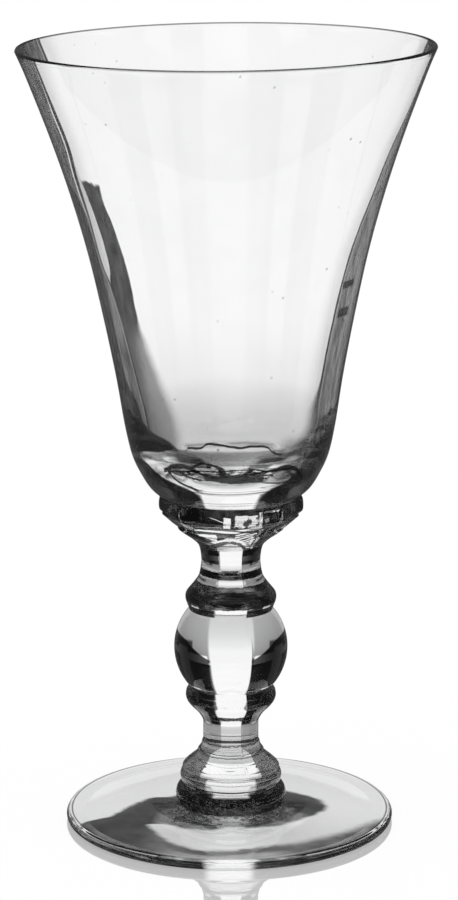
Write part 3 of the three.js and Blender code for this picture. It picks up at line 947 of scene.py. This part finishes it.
def stem():
    band = stem_low + BELL_HEIGHT
    waist = band + BAND_HEIGHT
    lower_ring = waist + WAIST_HEIGHT
    ball = lower_ring + LOWER_RING_HEIGHT
    upper_ring = ball + BALL_HEIGHT
    neck = upper_ring + UPPER_RING_HEIGHT
    flare = neck + NECK_HEIGHT
    middle = ball + BALL_HEIGHT / 2
    band_height = BAND_HEIGHT - 2 * CREASE_DEPTH
    full = BALL_HEIGHT / 2 / math.sqrt(1 - (GROOVE_RADIUS / ball_radius) ** 2)
    reach = math.asin(BALL_HEIGHT / 2 / full)
    arc = np.linspace(-reach, reach, 110)
    ball_points = np.stack([ball_radius * np.cos(arc), middle + full * np.sin(arc)], 1)
    outline = np.vstack(
        [
            [roll_joint],
            through(BELL_SHARES, stem_low, BELL_HEIGHT - CREASE_DEPTH, BAND_RADIUS, BELL_RADIUS)[1:],
            [(BAND_RADIUS - CREASE_DEPTH, band)],
            through(BAND_SHARES, band + CREASE_DEPTH, band_height, WAIST_RADIUS, BAND_RADIUS),
            [(WAIST_RADIUS - CREASE_DEPTH, waist)],
            straight((WAIST_RADIUS, waist + CREASE_DEPTH), (WAIST_RADIUS, lower_ring)),
            through(LOWER_RING_SHARES, lower_ring, LOWER_RING_HEIGHT, WAIST_RADIUS, LOWER_RING_RADIUS)[1:],
            ball_points,
            through(UPPER_RING_SHARES, upper_ring, UPPER_RING_HEIGHT, NECK_RADIUS, UPPER_RING_RADIUS),
            spline(
                [
                    (NECK_RADIUS + UPPER_RING_SHARES[-1][1] * (UPPER_RING_RADIUS - NECK_RADIUS), neck),
                    (NECK_RADIUS, (neck + flare) / 2),
                    (NECK_RADIUS + FLARE_SHARES[0][1] * (FLARE_RADIUS - NECK_RADIUS), flare),
                ],
                STEP_MM,
            )[1:],
            through(FLARE_SHARES, flare, FLARE_HEIGHT, NECK_RADIUS, FLARE_RADIUS)[1:-1],
            [flare_joint],
        ]
    )
    from_seam = (TURNS - SEAM_TURN + math.pi / 2) % math.pi - math.pi / 2
    ridge = SEAM_HEIGHT * np.clip(1 - np.abs(from_seam) / SEAM_WIDTH, 0, 1)
    rows = rings(outline, lambda radius, height: 1 + ridge / radius, axis)
    rows[0] = rings([outline[0]], None, axis)[0]
    rows[-1] = rings([outline[-1]], None, axis)[0]
    loft("stem", rows, "stem_glass")


def lower_collar():
    reach = smoothed(corner_reach(LOWER_COLLAR_CORNERS), 7)
    height = lower_collar_top - lower_collar_low
    outline = through(LOWER_COLLAR_SHARES, lower_collar_low, height, FLARE_RADIUS, LOWER_COLLAR_RADIUS)
    middle = rings(outline, lambda r, z: reach, axis)
    start = rings([flare_joint], None, axis)
    end = rings([tier_joint], lambda r, z: reach, axis)
    loft("lower_collar", np.vstack([start, middle, end]), "collar_glass")


def upper_collar():
    lower_reach = smoothed(corner_reach(LOWER_COLLAR_CORNERS), 7)
    reach = smoothed(corner_reach(UPPER_COLLAR_CORNERS), 7)
    height = upper_collar_top - upper_collar_low
    outline = through(UPPER_COLLAR_SHARES, upper_collar_low, height, 0, UPPER_COLLAR_RADIUS)
    start = rings([tier_joint], lambda r, z: lower_reach, axis)
    middle = rings(outline, lambda r, z: reach, axis)
    end = rings([seat_joint], None, axis)
    loft("upper_collar", np.vstack([start, middle, end]), "collar_glass")


def lean(points, pivot):
    """Points turned about Y round the pivot, so that the bowl leans to the left."""
    out = points - pivot
    c, s = math.cos(-BOWL_LEAN), math.sin(-BOWL_LEAN)
    x = out[..., 0] * c + out[..., 2] * s
    z = -out[..., 0] * s + out[..., 2] * c
    return np.stack([x, out[..., 1], z], -1) + pivot


def bowl():
    base = upper_collar_top + BOWL_GAP
    lip_radius = RIM_WALL / 2
    lip_height = BOWL_HEIGHT - lip_radius
    places = [(BOWL_SEAT_RADIUS, 0)]
    places += [(out * BOWL_RIM_RADIUS, up * BOWL_HEIGHT) for up, out in BOWL_SHARES]
    places += [(BOWL_RIM_RADIUS, lip_height)]
    outer = spline(places, BOWL_STEP_MM)
    wall = RIM_WALL + (BASE_WALL - RIM_WALL) * (1 - outer[:, 1] / BOWL_HEIGHT) ** WALL_FADE_POWER
    over_turn = outer[:, 1] > FLOOR_TURN_SHARE * BOWL_HEIGHT
    inner = np.stack([outer[:, 0] - wall, outer[:, 1]], 1)[over_turn][::-1]
    arc = np.linspace(0, math.pi, 24)
    lip = lip_radius * np.stack([np.cos(arc), np.sin(arc)], 1) + (BOWL_RIM_RADIUS - lip_radius, lip_height)
    turn = inner[-1]
    slope = turn - inner[-2]
    slope /= np.linalg.norm(slope)
    drop = turn[1] - BOWL_FLOOR
    side_bend = turn + slope * FLOOR_TURN_SIDE_SHARE * drop
    floor = bezier([turn, side_bend, (FLOOR_TURN_BOTTOM_SHARE * turn[0], BOWL_FLOOR), (0, BOWL_FLOOR)], 70)
    outline = np.vstack([outer, lip[1:], inner[1:], floor[1:-1]])
    rows = rings(outline)
    first_inner = len(outer) + len(lip) - 1
    for i in range(first_inner, first_inner + len(inner) - 1):
        radius, height = outline[i]
        fade = math.sin(math.pi * (height - turn[1]) / (lip_height - turn[1]))
        panel = (1 + np.cos(PANEL_COUNT * TURNS)) / 2
        rows[i, :, :2] *= (1 - PANEL_DEPTH * fade * panel / radius)[:, None]
    pivot = np.array([STEM_OFFSET, 0, base])
    rows = lean(rows + pivot, pivot)
    rows = np.vstack([rings([seat_joint], None, axis), rows])
    pole = lean(np.array([STEM_OFFSET, 0, base + BOWL_FLOOR]), pivot)
    loft("bowl", rows, "bowl_glass", last_pole=pole)


foot()
lower_wafer()
upper_wafer()
stem()
lower_collar()
upper_collar()
bowl()


# Studio. The glass is seen against white, and its depth comes from the painted shade in it and from what
# its
# bent rays meet: white cards round it in a dark room, on a pale polished table with painted shadow and
# reflections.


def off_axis(x, y, turn=0.0):
    """The angle from the direction (x, y) to the nearest side, or to the nearest corner with a turn."""
    angle = x.math("ARCTAN2", y) + turn
    return (angle * 4.0).math("COSINE").math("ARCCOSINE") / 4.0


def cards(x, y):
    """The angle from the nearest side, and 1 in front of a side's or a corner's card."""
    side = off_axis(x, y)
    corner = off_axis(x, y, math.pi / 4)

    def on_card(angle, half):
        return angle.span(half - CARD_SOFT, half + CARD_SOFT, 1.0, 0.0)

    return side, on_card(side, CARD_HALF_ANGLE), on_card(corner, CORNER_CARD_HALF_ANGLE)


def world():
    made = bpy.data.worlds.new("studio")
    bpy.context.scene.world = made
    n = Nodes(made)
    # Light reaches the surfaces by their own rays, so that each kind of ray sees its own part of the studio
    made.cycles.sampling_method = "NONE"
    x, y, z = n.get("ShaderNodeTexCoord", "Generated").split()
    side, on_side, on_corner = cards(x, y)
    rise = z.math("ARCSINE")
    low = rise.span(CARD_TOP - 2 * CARD_SOFT, CARD_TOP + 2 * CARD_SOFT, 1.0, 0.0)
    room = side.span(CARD_HALF_ANGLE, 2 * CARD_HALF_ANGLE, ROOM_BESIDE_CARD, ROOM)
    thick = (most(on_side, on_corner) * low).choose(room, 1.0)
    # The foot's lower face mirrors what lies low behind the goblet, which is dark
    mirrored_inside = n.path("Glossy Depth").math("COMPARE", 1.0, 0.5)
    low_behind = rise.inside(*DARK_BEHIND, math.radians(3))
    thick = (mirrored_inside * low_behind).choose(thick, INNER_GLINT)
    thin = rise.span(CARD_TOP - 2 * CARD_SOFT, CARD_TOP + 2 * CARD_SOFT, 1.0, 0.08)
    # The glass's gloss sees a dim room, and the table's mirror sees white
    glint = rise.span(*GLINT_RISE, LOW_GLINT, HIGH_GLINT)
    glint = n.path("Is Singular Ray").choose(glint, 1.0)
    depth = n.path("Transmission Depth")
    level = (depth > THIN_GLASS_DEPTH).choose(thick, thin)
    level = (depth > 0.5).choose(glint, level)
    plain = most(n.path("Is Camera Ray"), n.path("Is Diffuse Ray"))
    light = n.get("ShaderNodeBackground", 0, {"Color": WHITE, "Strength": plain.choose(level, 1.0)})
    n.add("ShaderNodeOutputWorld", {"Surface": light})


def table_beyond(x, y, reach):
    """The table painted as thick glass sees it: painted reflections of the cards, grey near the goblet, and
    the dark room's painted reflection beyond.
    """
    side, on_side, on_corner = cards(x, y)
    across = reach * side.math("SINE")
    mirrored = reach.span(0.05, 0.2, 0.62, 1.0)
    grey = across.span(0.02, TABLE_HALF_WIDTH, 0.45, 0.25, smooth=False)
    wide = side.span(math.radians(28), math.radians(30), 1.0, 0.0)
    lane = across.span(TABLE_HALF_WIDTH - 0.003, TABLE_HALF_WIDTH + 0.003, 1.0, 0.0)
    near = reach.span(TABLE_NEAR - 0.01, TABLE_NEAR + 0.01, 1.0, 0.0)
    table = most(lane * wide, near).choose(ROOM, grey)
    far_corner = on_corner * reach.span(0.17, 0.22)
    thick = most(on_side, far_corner).choose(table, mirrored)
    # The far table beside the cards is painted white for these rays, which gives the bowl's bands their
    # light
    far_side = side.inside(math.radians(17), math.radians(45), math.radians(2)) * reach.span(0.25, 0.29)
    thick = (far_side * reach.span(0.8, 0.9, 1.0, 0.0)).choose(thick, 1.0)
    # Far away the table is white, as the bowl's mouth shows it through a single wall
    seen_through_mouth = reach.span(0.52, 0.62) * reach.span(0.82, 0.95, 1.0, 0.0)
    return seen_through_mouth.choose(thick, 1.0)


def under_foot(place, x, y, reach):
    """The table through the foot, with painted shadow round the button, to the left and in a crescent at
    the front.
    """
    turn = turn_of(x, y)
    from_front = abs(turn - 0.5)
    out = reach / (UNDER_SCALE * MM) + place.rough(400.0, 0.04)
    within = out - turn.curve(DARK_WITHIN)
    beyond = out - turn.curve(DARK_BEYOND)
    crescent = (beyond / turn.span(0.52, 0.66, 1.0, 2.5)).span(-0.03, 0.02)
    dark = most(within.span(-0.015, 0.03, 1.0, 0.0), crescent)
    paler = from_front.span(0.04, 0.09, 1.0, 0.0) * beyond.span(0.05, 0.09)
    patchy = place.noise(150.0, 4.0).span(0.3, 0.7, 0.6, 1.4) * turn.curve(DARK_LEVEL)
    return (dark * paler.choose(1.0, 0.6)).choose(from_front.span(0.08, 0.27, 0.72, 1.0), patchy)


def floor():
    corners = [(-FLOOR_HALF, -FLOOR_HALF, 0), (FLOOR_HALF, -FLOOR_HALF, 0)]
    corners += [(FLOOR_HALF, FLOOR_HALF, 0), (-FLOOR_HALF, FLOOR_HALF, 0)]
    mesh = bpy.data.meshes.new("floor")
    mesh.from_pydata(corners, [], [(0, 1, 2, 3)])
    ob = placed("floor", mesh)
    ob.location.z = -FLOOR_GAP
    material = bpy.data.materials.new("pale_floor")
    n = Nodes(material)
    material.cycles.emission_sampling = "NONE"
    place = n.get("ShaderNodeTexCoord", "Object")
    x, y, _ = place.split()
    reach = (x * x + y * y).math("SQRT")
    # Rays through thick glass see the table's painted shadow under the foot and its painted reflections
    # beyond it
    thick = reach.span(*FOOT_REACH).choose(under_foot(place, x, y, reach), table_beyond(x, y, reach))
    # Rays through thin glass see it painted darker near the goblet
    thin = reach.span(0.1, 0.6, 0.6, 1.0)
    depth = n.path("Transmission Depth")
    level = (depth > THIN_GLASS_DEPTH).choose(thick, thin)
    # The glass's gloss sees the table painted dim
    level = (depth > 0.5).choose(GLOSS_ON_TABLE, level)
    direct = depth + n.path("Is Glossy Ray") < 0.5
    glow = n.get("ShaderNodeEmission", 0, {"Strength": direct.choose(level, 1.0)})
    diffuse = n.get("ShaderNodeBsdfDiffuse", 0, {"Color": PALE})
    matt = n.get("ShaderNodeMixShader", 0, {0: direct * 0.2, 1: glow, 2: diffuse})
    gloss = n.get("ShaderNodeBsdfGlossy", 0, {"Color": WHITE, "Roughness": 0.0})
    top = n.get("ShaderNodeMixShader", 0, {0: direct * TABLE_MIRROR, 1: matt, 2: gloss})
    n.add("ShaderNodeOutputMaterial", {"Surface": top})
    mesh.materials.append(material)


def camera():
    data = bpy.data.cameras.new("camera")
    data.sensor_width = SENSOR_MM
    data.lens = FOCAL_PX / PHOTO_HEIGHT_PX * SENSOR_MM
    data.clip_end = 100
    ob = placed("camera", data)
    ob.location = (CAMERA_SIDE, -CAMERA_BACK, CAMERA_UP)
    ob.rotation_euler = (math.pi / 2 - CAMERA_PITCH, 0, 0)
    bpy.context.scene.camera = ob


def softbox():
    data = bpy.data.lights.new("softbox", "AREA")
    data.shape = "DISK"
    data.size = SOFTBOX_SIZE
    data.energy = SOFTBOX_WATTS
    ob = placed("softbox", data)
    ob.location = SOFTBOX_PLACE
    ob.rotation_euler = SOFTBOX_TILT


world()
floor()
camera()
softbox()
scene = bpy.context.scene
scene.view_settings.view_transform = "Standard"
scene.cycles.max_bounces = 32
scene.cycles.transmission_bounces = 32
scene.cycles.glossy_bounces = 16
scene.cycles.use_denoising = True
